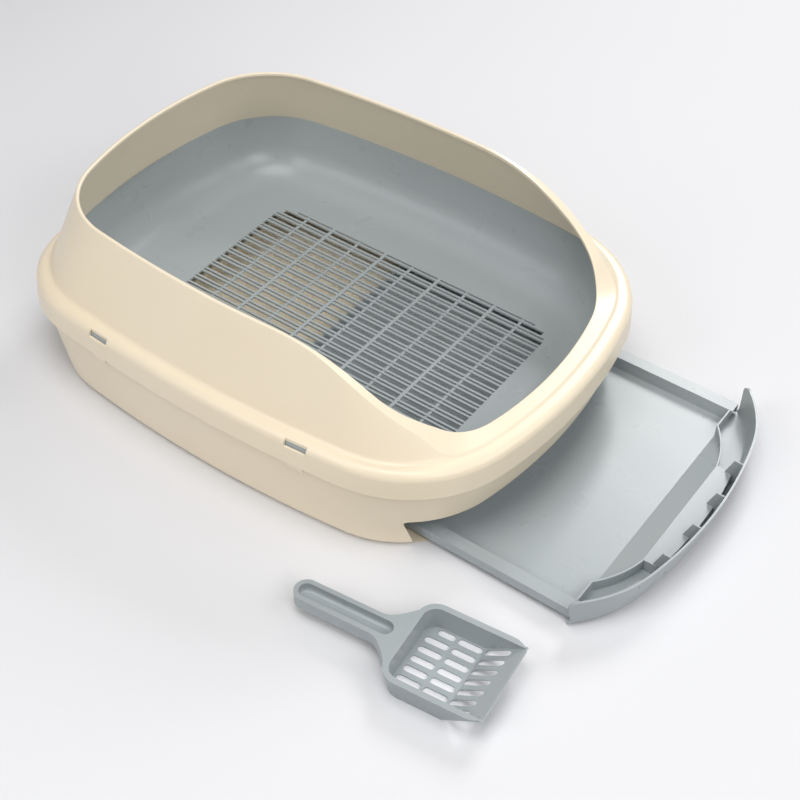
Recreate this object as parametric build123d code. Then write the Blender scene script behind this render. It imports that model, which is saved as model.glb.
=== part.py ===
from build123d import *
import os
from math import cos, radians, sin

# Litter box with a pull-out drawer, in millimetres.
# The base stands on z = 0 and its centre is x = y = 0. The drawer pulls out along +X.

# Wall thicknesses of the moulded shells
tub_wall = 2.6
pan_wall = 2.4
hood_wall = 2.4
drawer_wall = 2.0
panel_wall = 2.0
scoop_wall = 2.0

# Outside of the hood skirt: half lengths to the front and back, half width, corner radii
skirt_front = 280.0
skirt_back = 281.0
skirt_half_width = 218.4
skirt_front_corner = 128.0
skirt_back_corner = 98.0
skirt_draft = 1.4
skirt_gap = 0.5
flange_round = 9.0

# Heights: base, how far the pan's rim stands above it and how far the skirt hangs below its top
tub_height = 91.0
pan_rim_height = 13.2
skirt_overlap = 13.0

# Foot of the base, as if its bottom edge were sharp: how far it lies inside the skirt,
# its corner radii and how far its bottom edge is rounded
foot_front_inset = 20.0
foot_back_inset = 29.0
foot_side_inset = 9.8
foot_front_corner = 108.0
foot_back_corner = 90.0
foot_round = 12.0

# Splash wall of the hood. The crease where it leaves the flange lies inside the skirt,
# and the mouth at its top lies inside the crease.
crease_front_inset = 14.0
crease_back_inset = 10.0
crease_side_inset = 14.4
crease_front_corner = 116.0
crease_back_corner = 98.0
mouth_front_inset = 18.5
mouth_back_inset = 29.0
mouth_side_inset = 34.8
mouth_front_corner = 92.0
mouth_back_corner = 86.0
rim_width = 3.6
rim_depth = 3.0
# The wall leans in more towards the entry: how far its top outline would end behind the
# mouth, were it level
lean_inset = 47.5
lean_front_corner = 86.0
entry_wall = 3.6
# Side view of the rim, as heights above the flange: it leaves the high level, falls in an
# S and flattens at the entry
splash_height = 75.9
entry_height = 2.4
rim_leaves_at = 50.0
rim_shoulder = (120.0, 64.9)
rim_middle = (180.0, 34.9)
rim_toe = (215.0, 14.4)
rim_settles_at = 242.0

# Windows in the rounding of the flange, how far they reach down from its top and in from the
# skirt, and the snap tongues under them
window_centres = (112.0, -125.0)
window_length = 23.4
window_depth = 10.0
window_inset = 3.6
tongue_length = 17.0
tongue_drop = 3.6

# Sieve pan: its bowl, its flat floor and the rolled rim that stands on the base
floor_level = 41.0
bowl_lean = 15.0
bowl_round = 44.0
pan_lip_round = 7.5

# Slotted grille in the pan floor, placed from the top edge of the bowl
grille_front_margin = 79.1
grille_back_margin = 105.6
grille_corner = 20.0
grille_cells = 5
slot_pairs = 17
slat_width = 2.3
wide_slot = 6.2
narrow_slot = 2.6
solid_rib = 3.4
low_rib = 3.0
low_rib_drop = 1.0

# Opening in the front of the base
opening_side_margin = 38.1
opening_flare = 10.4
opening_top = 38.5
opening_round = 5.0

# Front panel of the drawer: its clearances in the opening, and how much rounder its ends
# are than the corners of the base
panel_gap = 0.7
panel_side_gap = 6.8
panel_flare = 7.0
panel_round = 7.0
panel_corner = 20.0

# Drawer, given closed; drawer_out is how far the drawer is pulled
drawer_out = 164.0
drawer_back_margin = 72.0
rail_margin = 10.5
rail_width = 11.0
tray_wall_lean = 2.5
rail_level = 17.2
rail_lip_bottom = 7.0
drawer_floor_gap = 0.3
ramp_margin = 51.0
ramp_length = 24.5
ledge_gap = 5.4
ledge_half_width = 72.0
ledge_corner = 6.0
barrier_half_width = 121.0
barrier_bulge = 3.6
gusset_thickness = 1.6
gusset_pitch = 46.8
gusset_count = 4
gusset_top_width = 9.5
gusset_foot_width = 13.0
gusset_headroom = 1.6

# Guides moulded on the floor of the base
guide_gap = 0.6
guide_thickness = 2.4
guide_height = 9.0
guide_margin = 64.0
stop_height = 8.0
stop_gap = 1.0

# Scoop, lying by the box
scoop_place = (374.0, -264.0)
scoop_turn = 6.0
scoop_length = 206.0
scoop_bowl_length = 96.0
scoop_floor_half_width = 42.0
scoop_rim_half_width = 43.0
scoop_height = 26.0
scoop_ramp_length = 38.0
scoop_corner = 15.0
scoop_rim_width = 3.5
handle_half_width = 12.0
handle_depth = 13.0
neck_length = 26.0
neck_slope = 0.9
channel_half_width = 7.5
channel_depth = 9.0
channel_setback = 8.5
scoop_slot_width = 7.0
scoop_slot_length = 23.5
scoop_slot_pitch = 11.8
scoop_slot_rows = 7
scoop_column_pitch = 26.0
scoop_column_setback = 19.5
scoop_row_lean = 0.45
short_slot_length = 17.0
front_slot_length = 24.0

# Cutters reach this far past what they cut
past = 50.0

# The outlines in plan are ovals of ten tangent arcs. These are the angles that
# half of a long-side arc and half of an end arc turn through.
side_turn = 7.0
end_turn = 13.0


def plan(front, back, half_width, front_corner, back_corner):
    return (front, back, half_width, front_corner, back_corner)


def grow(shape, distance):
    """Offsets an oval outwards: every arc keeps its centre."""
    return tuple(size + distance for size in shape)


def between(low, high, share):
    return tuple(a + (b - a) * share for a, b in zip(low, high))


def quarter_radii(length, half_width, corner):
    """Radii of the side arc and the end arc that are tangent to the corner arc."""
    side, end = radians(90 - side_turn), radians(end_turn)
    along = length + corner * (cos(side) - cos(end))
    across = half_width - corner * (sin(side) - sin(end))
    scale = cos(side) * sin(end) - (1 - cos(end)) * (1 - sin(side))
    side_radius = (along * sin(end) - across * (1 - cos(end))) / scale
    end_radius = (across * cos(side) - along * (1 - sin(side))) / scale
    return side_radius, end_radius


def arc(centre_x, centre_y, radius, start, stop):
    angles = [radians(a) for a in (start, (start + stop) / 2, stop)]
    return ThreePointArc(*[(centre_x + radius * cos(a), centre_y + radius * sin(a)) for a in angles])


def oval(shape, level=0.0):
    """Face of the oval at a height."""
    front, back, half_width, front_corner, back_corner = shape
    front_side, front_end = quarter_radii(front, half_width, front_corner)
    back_side, back_end = quarter_radii(back, half_width, back_corner)
    side = 90 - side_turn
    front_x = front - front_end + (front_end - front_corner) * cos(radians(end_turn))
    front_y = (front_end - front_corner) * sin(radians(end_turn))
    back_x = -back + back_end - (back_end - back_corner) * cos(radians(end_turn))
    back_y = (back_end - back_corner) * sin(radians(end_turn))
    edges = [
        arc(front - front_end, 0, front_end, -end_turn, end_turn),
        arc(front_x, front_y, front_corner, end_turn, side),
        arc(0, half_width - front_side, front_side, side, 90),
        arc(0, half_width - back_side, back_side, 90, 180 - side),
        arc(back_x, back_y, back_corner, 180 - side, 180 - end_turn),
        arc(-back + back_end, 0, back_end, 180 - end_turn, 180 + end_turn),
        arc(back_x, -back_y, back_corner, 180 + end_turn, 180 + side),
        arc(0, back_side - half_width, back_side, 180 + side, 270),
        arc(0, front_side - half_width, front_side, 270, 360 - side),
        arc(front_x, -front_y, front_corner, 360 - side, 360 - end_turn),
    ]
    return Pos(0, 0, level) * Face(Wire(edges))


def block(low_shape, low, high_shape, high):
    """Solid between two ovals; its sides are smooth because both share their arc angles."""
    return loft([oval(low_shape, low), oval(high_shape, high)], ruled=True)


def box(x0, x1, y0, y1, z0, z1):
    return Pos((x0 + x1) / 2, (y0 + y1) / 2, (z0 + z1) / 2) * Box(x1 - x0, y1 - y0, z1 - z0)


def both_sides(piece):
    """The piece and its mirror image in the XZ plane."""
    return [piece, mirror(piece, Plane.XZ)]


def round_bottom(solid, radius):
    return fillet(solid.faces().sort_by(Axis.Z)[0].edges(), radius)


def round_top(solid, radius):
    return fillet(solid.faces().sort_by(Axis.Z)[-1].edges(), radius)


# Levels
flange_bottom = tub_height + pan_rim_height
flange_top = flange_bottom + hood_wall
skirt_bottom = tub_height - skirt_overlap
high_rim = flange_top + splash_height
entry_rim = flange_top + entry_height
drawer_bottom = tub_wall + drawer_floor_gap
drawer_floor = drawer_bottom + drawer_wall

# Outlines
skirt_low = plan(skirt_front, skirt_back, skirt_half_width, skirt_front_corner, skirt_back_corner)
skirt_high = grow(skirt_low, -skirt_draft)
tub_rim = grow(skirt_high, -hood_wall - skirt_gap)
foot_front = skirt_front - foot_front_inset
foot_back = skirt_back - foot_back_inset
foot_half_width = skirt_half_width - foot_side_inset
tub_foot = plan(foot_front, foot_back, foot_half_width, foot_front_corner, foot_back_corner)
crease = plan(skirt_front - crease_front_inset, skirt_back - crease_back_inset,
              skirt_half_width - crease_side_inset, crease_front_corner, crease_back_corner)
mouth = plan(crease[0] - mouth_front_inset, crease[1] - mouth_back_inset, crease[2] - mouth_side_inset,
             mouth_front_corner, mouth_back_corner)
bowl_top = grow(crease, -hood_wall)

# Places along and across
grille_back = grille_back_margin - bowl_top[1]
grille_length = bowl_top[0] - grille_front_margin - grille_back
opening_half_width = foot_half_width - opening_side_margin
rail_half_width = opening_half_width - rail_margin
tray_half_width = rail_half_width - rail_width
drawer_back = drawer_back_margin - foot_back
ramp_foot = foot_front - ramp_margin
ramp_top = ramp_foot + ramp_length
guide_front = foot_front - guide_margin


def front_corner_more(shape, extra):
    return plan(*shape[:3], shape[3] + extra, shape[4])


def tub_outside(inset, corner=0.0):
    """Outer form of the base, drawn in by an inset, with its front corners made rounder."""
    low = front_corner_more(grow(tub_foot, -inset), corner)
    high = front_corner_more(grow(tub_rim, -inset), corner)
    return block(low, 0, high, tub_height)


def tub_form(inset, corner=0.0):
    """Outer form with its bottom edge rounded."""
    return round_bottom(tub_outside(inset, corner), foot_round - inset)


def front_face(half_low, flare, clearance, radius):
    """Trapezium seen from the front, with rounded upper corners."""
    low, high = tub_wall + clearance, opening_top - clearance
    half_high = half_low + flare
    corners = [(-half_low, low), (half_low, low), (half_high, high), (-half_high, high)]
    face = make_face(Polyline(*corners, close=True))
    return Plane.YZ * fillet(face.vertices().group_by(Axis.Y)[-1], radius)


def panel_plan(level):
    """Outline that the front of the drawer panel follows at a height."""
    return front_corner_more(between(tub_foot, tub_rim, level / tub_height), panel_corner)


def base_tub():
    shell = tub_form(0)
    inside = block(grow(between(tub_foot, tub_rim, tub_wall / tub_height), -tub_wall), tub_wall,
                   grow(tub_rim, -tub_wall), tub_height)
    shell -= round_bottom(inside, foot_round - tub_wall)
    shell -= extrude(front_face(opening_half_width, opening_flare, 0, opening_round), skirt_front)
    guide_face = rail_half_width + guide_gap
    guide = box(drawer_back, guide_front, guide_face, guide_face + guide_thickness,
                tub_wall, tub_wall + guide_height)
    stop = box(drawer_back - stop_gap - guide_thickness, drawer_back - stop_gap,
               -tray_half_width, tray_half_width, tub_wall, tub_wall + stop_height)
    for rib in both_sides(guide) + [stop]:
        shell += rib
    return shell


def rim_profile():
    """Side view of everything above the hood's rim line."""
    between_ends = [(x, flange_top + height) for x, height in (rim_shoulder, rim_middle, rim_toe)]
    line = Spline((rim_leaves_at, high_rim), *between_ends, (rim_settles_at, entry_rim),
                  tangents=[(1, 0), (1, 0)])
    far, sky = skirt_back + past, high_rim + past
    frame = Polyline((rim_settles_at, entry_rim), (far, entry_rim), (far, sky), (-far, sky),
                     (-far, high_rim), (rim_leaves_at, high_rim))
    return make_face([line, frame])


def above_rim(drop):
    """Solid above the rim line, lowered by a drop, across the whole width."""
    face = Plane.XZ * rim_profile()
    return Pos(0, 0, -drop) * extrude(face, skirt_half_width + past, both=True)


def splash_guard():
    skirt = round_top(block(skirt_low, skirt_bottom, skirt_high, flange_top), flange_round)
    inside = block(grow(skirt_low, -hood_wall), skirt_bottom, grow(skirt_high, -hood_wall), flange_bottom)
    skirt -= round_top(inside, flange_round - hood_wall)
    skirt -= block(grow(crease, -hood_wall), flange_bottom, grow(crease, -hood_wall), flange_top)
    wall_top = grow(mouth, rim_width)
    wall_top = plan(mouth[0] - lean_inset, *wall_top[1:3], lean_front_corner, wall_top[4])
    hollow_top = grow(wall_top, -hood_wall)
    hollow_top = plan(wall_top[0] - entry_wall, *hollow_top[1:])
    wall = block(crease, flange_bottom, wall_top, high_rim)
    hollow = block(grow(crease, -hood_wall), flange_bottom, hollow_top, high_rim)
    rim = wall & above_rim(rim_depth)
    rim -= above_rim(0)
    rim -= block(mouth, flange_bottom, mouth, high_rim)
    guard = skirt + (wall - hollow - above_rim(0)) + rim
    outer = skirt_half_width + past
    behind = grow(skirt_high, -window_inset)
    behind = block(behind, skirt_bottom, behind, high_rim)
    for centre in window_centres:
        window = box(centre - window_length / 2, centre + window_length / 2, 0, outer,
                     flange_top - window_depth, high_rim) - behind
        for cut in both_sides(window):
            guard -= cut
    band = block(skirt_low, skirt_bottom - tongue_drop, skirt_low, skirt_bottom)
    band -= block(grow(skirt_low, -hood_wall), skirt_bottom - tongue_drop,
                  grow(skirt_low, -hood_wall), skirt_bottom)
    for centre in window_centres:
        tongue = box(centre - tongue_length / 2, centre + tongue_length / 2, 0, outer, 0, skirt_bottom)
        for piece in both_sides(tongue):
            guard += band & piece
    return guard


def slot_rows():
    """Centre and half width of each row of slots, across the pan."""
    pitch = wide_slot + narrow_slot + 2 * slat_width
    rows = []
    for index in range(slot_pairs):
        rows.append(((index - (slot_pairs - 1) / 2) * pitch, wide_slot / 2))
    for index in range(slot_pairs + 1):
        rows.append(((index - slot_pairs / 2) * pitch, narrow_slot / 2))
    return rows


def slot_faces(cells, ribs):
    """Slots between the cross ribs; the outer ones follow the grille's rounded corners."""
    half_field = slot_pairs * (wide_slot + narrow_slot + 2 * slat_width) / 2 + narrow_slot / 2
    cell = grille_length / cells
    faces = []
    for centre, half in slot_rows():
        into_corner = max(0.0, abs(centre) + half - half_field + grille_corner)
        trim = grille_corner - (max(0.0, grille_corner ** 2 - into_corner ** 2)) ** 0.5
        for index in range(cells):
            start = grille_back + index * cell + (ribs[index] if index else trim)
            stop = grille_back + (index + 1) * cell - (ribs[index + 1] if index + 1 < cells else trim)
            faces.append(Pos((start + stop) / 2, centre) * Rectangle(stop - start, 2 * half))
    return faces


def slot_cutters():
    """Lower cutters stop at every cross rib, upper ones run over the low ribs."""
    bottom = floor_level - pan_wall
    step = floor_level - low_rib_drop
    fine = [solid_rib / 2 if index % 2 == 0 else low_rib / 2 for index in range(2 * grille_cells + 1)]
    coarse = [solid_rib / 2] * (grille_cells + 1)
    lower = [Pos(0, 0, bottom) * extrude(face, step - bottom) for face in slot_faces(2 * grille_cells, fine)]
    upper = [Pos(0, 0, step) * extrude(face, low_rib_drop) for face in slot_faces(grille_cells, coarse)]
    return lower, upper


def bowl_shape(level):
    """Inside of the pan's bowl at a height, before its lower edge is rounded."""
    return grow(bowl_top, -(flange_bottom - level) * sin(radians(bowl_lean)) / cos(radians(bowl_lean)))


def litter_pan():
    bottom = floor_level - pan_wall
    flange = flange_bottom - pan_wall
    joint = flange_bottom - pan_wall / 2
    bowl = block(grow(bowl_shape(bottom), pan_wall), bottom, grow(bowl_shape(joint), pan_wall), joint)
    bowl = round_bottom(bowl, bowl_round + pan_wall)
    rim = round_top(block(tub_rim, tub_height, tub_rim, flange_bottom), pan_lip_round)
    rim -= round_top(block(grow(tub_rim, -pan_wall), tub_height, grow(tub_rim, -pan_wall), flange),
                     pan_lip_round - pan_wall)
    pan = bowl + rim
    inside = block(bowl_shape(floor_level), floor_level, bowl_shape(flange_bottom), flange_bottom)
    pan -= round_bottom(inside, bowl_round)
    lower, upper = slot_cutters()
    pan = pan.cut(*lower)
    return pan.cut(*upper)


def tray_section():
    """Half section of the tray seen from the front: floor, leaning wall, rail and its lip."""
    wall_foot = tray_half_width - tray_wall_lean
    rail_bottom = rail_level - drawer_wall
    points = [
        (0, drawer_bottom), (wall_foot, drawer_bottom), (tray_half_width, rail_bottom),
        (rail_half_width - drawer_wall, rail_bottom), (rail_half_width - drawer_wall, rail_lip_bottom),
        (rail_half_width, rail_lip_bottom), (rail_half_width, rail_level),
        (tray_half_width - drawer_wall, rail_level), (wall_foot - drawer_wall, drawer_floor),
        (0, drawer_floor),
    ]
    return Plane.YZ * make_face(Polyline(*points, close=True))


def barrier_line():
    """Half of the low wall behind the panel: straight, then bowed out to the ledge."""
    return [
        Line((ramp_foot, tray_half_width), (ramp_foot, barrier_half_width)),
        SagittaArc((ramp_foot, barrier_half_width), (ramp_top, ledge_half_width), barrier_bulge),
    ]


def under_ramp():
    """Plan of the ramp and ledge together."""
    upper = barrier_line()[1]
    lower = mirror(upper, Plane.XZ)
    front = Line((ramp_top, ledge_half_width), (ramp_top, -ledge_half_width))
    back = Line((ramp_foot, barrier_half_width), (ramp_foot, -barrier_half_width))
    return make_face([upper, front, lower, back])


def ledge_plan():
    """Plan of the ledge; its front follows the panel."""
    front = oval(grow(panel_plan(rail_level), -panel_wall - ledge_gap))
    strip = Pos((ramp_top + skirt_front) / 2, 0) * Rectangle(skirt_front - ramp_top, 2 * ledge_half_width)
    face = (front & strip).face()
    return fillet(face.vertices().group_by(Axis.X)[-1], ledge_corner)


def drawer():
    height = rail_level - drawer_bottom
    tray = Pos(drawer_back, 0, 0) * extrude(tray_section(), ramp_foot + drawer_wall - drawer_back)
    tray += mirror(tray, Plane.XZ)
    tray += box(drawer_back, drawer_back + drawer_wall, -rail_half_width, rail_half_width,
                drawer_bottom, rail_level)

    # Front floor, which runs out to the panel and is open under the ramp and ledge
    half_panel = opening_half_width - panel_side_gap
    behind = tub_form(panel_wall / 2, panel_corner)
    apron = box(ramp_foot, skirt_front, -half_panel, half_panel, drawer_bottom, drawer_floor) & behind
    raised = under_ramp() + ledge_plan()
    apron -= Pos(0, 0, drawer_bottom) * extrude(offset(raised, -drawer_wall), drawer_wall)

    # Ramp, ledge and the low walls around them
    slope = [(ramp_foot, drawer_bottom), (ramp_foot, drawer_floor), (ramp_top, rail_level),
             (skirt_front, rail_level), (skirt_front, rail_level - drawer_wall),
             (ramp_top + drawer_wall / 2, rail_level - drawer_wall)]
    deck = extrude(Plane.XZ * make_face(Polyline(*slope, close=True)), barrier_half_width, both=True)
    deck &= Pos(0, 0, drawer_bottom) * extrude(raised, height)
    skirt = Pos(0, 0, drawer_bottom) * extrude(raised - offset(raised, -drawer_wall), height)
    skirt &= box(ramp_foot + drawer_wall, skirt_front, -barrier_half_width, barrier_half_width,
                 drawer_bottom, rail_level)
    barrier = Pos(0, 0, drawer_bottom) * extrude(trace(barrier_line(), drawer_wall), height)
    tray += apron
    tray += deck
    tray += skirt
    for wall in both_sides(barrier):
        tray += wall

    # Bowed front panel, cut from the base's own outer form, and the gussets behind it
    panel = tub_form(0, panel_corner) - tub_form(panel_wall, panel_corner)
    panel &= extrude(front_face(half_panel, panel_flare, panel_gap, panel_round), skirt_front)
    tray += panel
    crest = opening_top - panel_gap - gusset_headroom
    for index in range(gusset_count):
        y = (index - (gusset_count - 1) / 2) * gusset_pitch
        reach = face_reach(y, crest)
        foot = face_reach(y, rail_level)
        ledge_edge = foot - ledge_gap - drawer_wall / 2
        deck_middle = rail_level - drawer_wall / 2
        outline = [(reach - gusset_top_width, crest), (skirt_front, crest), (skirt_front, drawer_bottom),
                   (ledge_edge, drawer_bottom), (ledge_edge, deck_middle),
                   (foot - gusset_foot_width, deck_middle)]
        gusset = extrude(Plane.XZ * make_face(Polyline(*outline, close=True)), gusset_thickness / 2,
                         both=True)
        tray += (Pos(0, y, 0) * gusset) & behind
    return Pos(drawer_out, 0, 0) * tray


def face_reach(y, level):
    """How far forward the inner face of the panel lies at a place across and a height."""
    shape = panel_plan(level)
    radius = quarter_radii(shape[0], shape[2], shape[3])[1]
    return shape[0] - radius + (radius ** 2 - y ** 2) ** 0.5 - panel_wall


def scoop_slots():
    """Stadium slots in three columns; the front column lies in the ramp."""
    cuts = []
    span = (scoop_slot_rows - 1) / 2
    first_column = scoop_column_setback - scoop_bowl_length
    for row in range(scoop_slot_rows):
        y = (row - span) * scoop_slot_pitch
        lean = (row - 2 * span) * scoop_row_lean
        for column in range(2):
            length = scoop_slot_length
            x = first_column + column * scoop_column_pitch + lean
            if column == 0 and row == scoop_slot_rows - 1:
                x += (length - short_slot_length) / 2
                length = short_slot_length
            cuts.append(Pos(x, y) * SlotOverall(length, scoop_slot_width))
        x = first_column + 2 * scoop_column_pitch + lean
        cuts.append(Pos(x, y) * SlotOverall(front_slot_length, scoop_slot_width))
    return [extrude(cut, scoop_height) for cut in cuts]


def scoop_tray(inset, floor):
    """Bowl form of the scoop, drawn in by an inset, with its front cut to the ramp."""
    half_low = scoop_floor_half_width - inset
    half_high = scoop_rim_half_width - inset
    back = -scoop_bowl_length + inset
    lean = scoop_rim_half_width - scoop_floor_half_width
    front = scoop_bowl_length

    def level(half, start, corner, z):
        face = Pos((start + front) / 2, 0) * RectangleRounded(front - start, 2 * half, corner)
        return Pos(0, 0, z) * face

    body = loft([level(half_low, back + lean, scoop_corner - inset - lean / 2, floor),
                 level(half_high, back, scoop_corner - inset, scoop_height)], ruled=True)
    ramp = Polyline((-scoop_ramp_length, floor), (0, scoop_height), (2 * front, scoop_height),
                    (2 * front, -past), (-scoop_ramp_length, -past), close=True)
    return body - extrude(Plane.XZ * make_face(ramp), scoop_bowl_length, both=True)


def scoop():
    body = scoop_tray(0, 0)
    rim = Pos(-scoop_bowl_length / 2, 0) * RectangleRounded(
        scoop_bowl_length + 2 * scoop_rim_width, 2 * (scoop_rim_half_width + scoop_rim_width),
        scoop_corner + scoop_rim_width)
    rim &= Pos(-scoop_bowl_length, 0) * Rectangle(2 * scoop_bowl_length, 2 * scoop_bowl_length)
    body += Pos(0, 0, scoop_height - scoop_wall) * extrude(rim, scoop_wall)

    # Handle with its flared neck and its channel
    neck_end = -scoop_bowl_length - scoop_rim_width - neck_length
    start = -scoop_bowl_length + scoop_wall / 2
    half_neck = scoop_rim_half_width - scoop_corner / 2
    side = Spline((start, half_neck), (neck_end, handle_half_width), tangents=[(-1, -neck_slope), (-1, 0)])
    grip = Line((neck_end, handle_half_width), (-scoop_length + handle_half_width, handle_half_width))
    end = ThreePointArc((-scoop_length + handle_half_width, handle_half_width), (-scoop_length, 0),
                        (-scoop_length + handle_half_width, -handle_half_width))
    edges = [side, grip, end, mirror(grip, Plane.XZ), mirror(side, Plane.XZ),
             Line((start, -half_neck), (start, half_neck))]
    body += Pos(0, 0, scoop_height - handle_depth) * extrude(make_face(edges), handle_depth)
    body -= scoop_tray(scoop_wall, scoop_wall)
    channel_back = -scoop_length + handle_half_width - channel_half_width
    channel_front = -scoop_bowl_length - scoop_rim_width - channel_setback
    channel = Pos((channel_back + channel_front) / 2, 0) * SlotOverall(channel_front - channel_back,
                                                                       2 * channel_half_width)
    body -= Pos(0, 0, scoop_height - channel_depth) * extrude(channel, channel_depth)
    for cut in scoop_slots():
        body -= cut
    return Pos(*scoop_place, 0) * Rot(0, 0, scoop_turn) * body


os.makedirs("parts", exist_ok=True)
nodes = {
    "base_tub": base_tub(),
    "splash_guard": splash_guard(),
    "litter_pan": litter_pan(),
    "drawer": drawer(),
    "scoop": scoop(),
}
for name, shape in nodes.items():
    export_step(shape, f"parts/{name}.step")
    print(name, round(shape.volume), "mm3", len(shape.solids()), "solid(s)")
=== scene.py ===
import math

import bmesh
import bpy
from mathutils import Matrix, Vector


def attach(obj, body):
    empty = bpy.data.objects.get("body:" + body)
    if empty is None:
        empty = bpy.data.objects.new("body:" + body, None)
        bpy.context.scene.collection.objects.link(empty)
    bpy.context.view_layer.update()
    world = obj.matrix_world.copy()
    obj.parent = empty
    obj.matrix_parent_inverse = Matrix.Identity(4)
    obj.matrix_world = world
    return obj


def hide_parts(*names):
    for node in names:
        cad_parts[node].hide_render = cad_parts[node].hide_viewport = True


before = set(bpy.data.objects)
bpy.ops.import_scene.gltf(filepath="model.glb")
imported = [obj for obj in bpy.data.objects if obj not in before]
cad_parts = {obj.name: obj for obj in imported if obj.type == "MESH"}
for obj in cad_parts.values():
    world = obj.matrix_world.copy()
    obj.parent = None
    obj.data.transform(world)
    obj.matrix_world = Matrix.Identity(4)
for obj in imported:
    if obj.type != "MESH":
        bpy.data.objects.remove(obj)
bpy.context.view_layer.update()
print("frame loaded")

# Pieces are made in millimetres and scaled at the end. Plans are ovals of ten arcs that run into each
# other, given as front, back, half width, front corner and back corner. Every ring turns through the
# same steps, so two rings match point by point.
toMetres = 0.001
ringSteps = {"sideTurn": 7, "endTurn": 13, "sideSteps": 14, "cornerSteps": 24, "endSteps": 8}


def grow(shape, distance):
    return tuple(size + distance for size in shape)


def between(low, high, share):
    return tuple(a + (b - a) * share for a, b in zip(low, high))


def sideAndEndRadius(length, halfWidth, corner):
    side = math.radians(90 - ringSteps["sideTurn"])
    end = math.radians(ringSteps["endTurn"])
    along = length + corner * (math.cos(side) - math.cos(end))
    across = halfWidth - corner * (math.sin(side) - math.sin(end))
    scale = math.cos(side) * math.sin(end) - (1 - math.cos(end)) * (1 - math.sin(side))
    sideRadius = (along * math.sin(end) - across * (1 - math.cos(end))) / scale
    endRadius = (across * math.cos(side) - along * (1 - math.sin(side))) / scale
    return sideRadius, endRadius


def halfWidthAt(shape, x):
    # half width of the oval at a place along its side arcs
    length, corner = (shape[0], shape[3]) if x > 0 else (shape[1], shape[4])
    radius = sideAndEndRadius(length, shape[2], corner)[0]
    return shape[2] - radius + math.sqrt(radius ** 2 - x ** 2)


def frontAt(shape, y):
    # how far forward the oval reaches at a place across
    radius = sideAndEndRadius(shape[0], shape[2], shape[3])[1]
    if abs(y) < radius * math.sin(math.radians(ringSteps["endTurn"])):
        return shape[0] - radius + math.sqrt(radius ** 2 - y ** 2)
    cornerX, cornerY = arcsOf(shape)[1][0]
    return cornerX + math.sqrt(shape[3] ** 2 - (abs(y) - cornerY) ** 2)


def arcsOf(shape):
    # centre, turn in degrees and steps of each arc, round from the middle of the front
    front, back, half, frontCorner, backCorner = shape
    sideTurn, endTurn = ringSteps["sideTurn"], ringSteps["endTurn"]
    cornerTurn = 90 - sideTurn - endTurn
    sides, corners, ends = ringSteps["sideSteps"], ringSteps["cornerSteps"], ringSteps["endSteps"]
    frontSide, frontEnd = sideAndEndRadius(front, half, frontCorner)
    backSide, backEnd = sideAndEndRadius(back, half, backCorner)
    tilt = math.radians(endTurn)
    frontX = front - frontEnd + (frontEnd - frontCorner) * math.cos(tilt)
    frontY = (frontEnd - frontCorner) * math.sin(tilt)
    backX = -back + backEnd - (backEnd - backCorner) * math.cos(tilt)
    backY = (backEnd - backCorner) * math.sin(tilt)
    return [
        ((front - frontEnd, 0), endTurn, ends), ((frontX, frontY), cornerTurn, corners),
        ((0, half - frontSide), sideTurn, sides), ((0, half - backSide), sideTurn, sides),
        ((backX, backY), cornerTurn, corners), ((backEnd - back, 0), 2 * endTurn, 2 * ends),
        ((backX, -backY), cornerTurn, corners), ((0, backSide - half), sideTurn, sides),
        ((0, frontSide - half), sideTurn, sides), ((frontX, -frontY), cornerTurn, corners),
        ((front - frontEnd, 0), endTurn, ends),
    ]


def ring(bm, shape, level):
    # the oval drawn by spinning a point round each arc, given back as its points in order
    first = last = bm.verts.new((shape[0], 0, level))
    arcs = arcsOf(shape)
    for index, (centre, turn, steps) in enumerate(arcs):
        share = (steps - 1) / steps if index == len(arcs) - 1 else 1
        last = bmesh.ops.spin(bm, geom=[last], cent=(*centre, level), axis=(0, 0, 1),
                              angle=math.radians(turn * share), steps=round(steps * share))["geom_last"][0]
    bm.edges.new((last, first))
    points = [last, first]
    while len(points) == 2 or points[-1] != last:
        before, here = points[-2:]
        points.append(next(e.other_vert(here) for e in here.link_edges if e.other_vert(here) != before))
    return points[1:]


def outwards(shape):
    # the way each point of a ring faces in plan, the same for every oval
    ways, angle = [], 0
    for centre, turn, steps in arcsOf(shape):
        for step in range(steps):
            way = math.radians(angle + turn * step / steps)
            ways.append(Vector((math.cos(way), math.sin(way), 0)))
        angle += turn
    return ways


def ringEdges(points):
    edges = []
    for a, b in zip(points, points[1:] + points[:1]):
        edges.append(next(e for e in a.link_edges if e.other_vert(a) == b))
    return edges


def join(bm, rows):
    # skin from one ring to the next
    for low, high in zip(rows, rows[1:]):
        bmesh.ops.bridge_loops(bm, edges=ringEdges(low) + ringEdges(high))


def vertsOf(geom):
    return [v for v in geom if isinstance(v, bmesh.types.BMVert)]


def cutLine(bm, faces, place, normal):
    # scores the faces where a plane meets them
    edges = list({e for f in faces for e in f.edges})
    verts = list({v for f in faces for v in f.verts})
    bmesh.ops.bisect_plane(bm, geom=faces + edges + verts, plane_co=place, plane_no=normal)


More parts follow.
